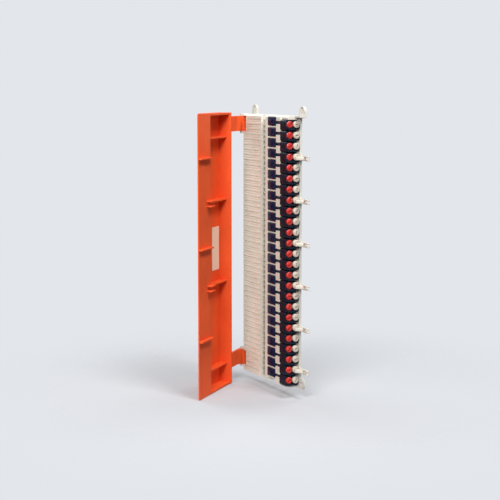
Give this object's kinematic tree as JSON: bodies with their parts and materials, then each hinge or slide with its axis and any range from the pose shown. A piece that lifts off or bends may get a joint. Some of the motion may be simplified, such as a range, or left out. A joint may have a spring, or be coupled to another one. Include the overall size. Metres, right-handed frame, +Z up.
{
  "type": "wall-mounted line interface block",
  "caption": "Tall wall-mounted interface block with a slitted wire field, rows of plugs and screw terminals, side wire guides and a hinged orange cover.",
  "frame": {"origin": "middle of the back face, on the wall", "axes": "+X to the right seen from the front, +Y into the wall, +Z up"},
  "size_m": [0.126, 0.093, 0.2789],
  "materials": {
    "beige_plastic": "fine matt moulding",
    "clip_metal": "tinned",
    "lead_sheath": "smooth sheath",
    "guide_plastic": "slightly translucent",
    "cover_plastic": "satin moulding",
    "label_card": "matt card",
    "red_plastic": "glossy",
    "ivory_plastic": "glossy",
    "black_plastic": "satin",
    "plug_plastic": "smoky, near opaque"
  },
  "bodies": {
    "block": {"mounting_base": "beige_plastic", "fanning_strip": "beige_plastic", "quick_clips": "clip_metal", "jack_frame": "beige_plastic", "plug_leads": "lead_sheath", "wire_guides": "guide_plastic", "terminal_bed": "beige_plastic", "ring_screws": "red_plastic", "tip_screws": "ivory_plastic", "terminal_strip_1": "black_plastic", "terminal_strip_2": "black_plastic", "terminal_strip_3": "black_plastic", "terminal_strip_4": "black_plastic", "terminal_strip_5": "black_plastic", "line_plug_01": "plug_plastic", "line_plug_02": "plug_plastic", "line_plug_03": "plug_plastic", "line_plug_04": "plug_plastic", "line_plug_05": "plug_plastic", "line_plug_06": "plug_plastic", "line_plug_07": "plug_plastic", "line_plug_08": "plug_plastic", "line_plug_09": "plug_plastic", "line_plug_10": "plug_plastic", "line_plug_11": "plug_plastic", "line_plug_12": "plug_plastic", "line_plug_13": "plug_plastic", "line_plug_14": "plug_plastic", "line_plug_15": "plug_plastic", "line_plug_16": "plug_plastic", "line_plug_17": "plug_plastic", "line_plug_18": "plug_plastic", "line_plug_19": "plug_plastic", "line_plug_20": "plug_plastic", "line_plug_21": "plug_plastic", "line_plug_22": "plug_plastic", "line_plug_23": "plug_plastic", "line_plug_24": "plug_plastic", "line_plug_25": "plug_plastic"},
    "cover": {"cover_panel": "cover_plastic", "cover_strip": "cover_plastic", "cover_spine": "cover_plastic", "cover_label": "label_card"}
  },
  "joints": [
    {"name": "cover_hinge", "type": "hinge", "parent": "block", "child": "cover", "pos_m": [-0.054, -0.0117, 0], "axis": [0, 0, -1], "range_deg": [-40, 110]}
  ]
}
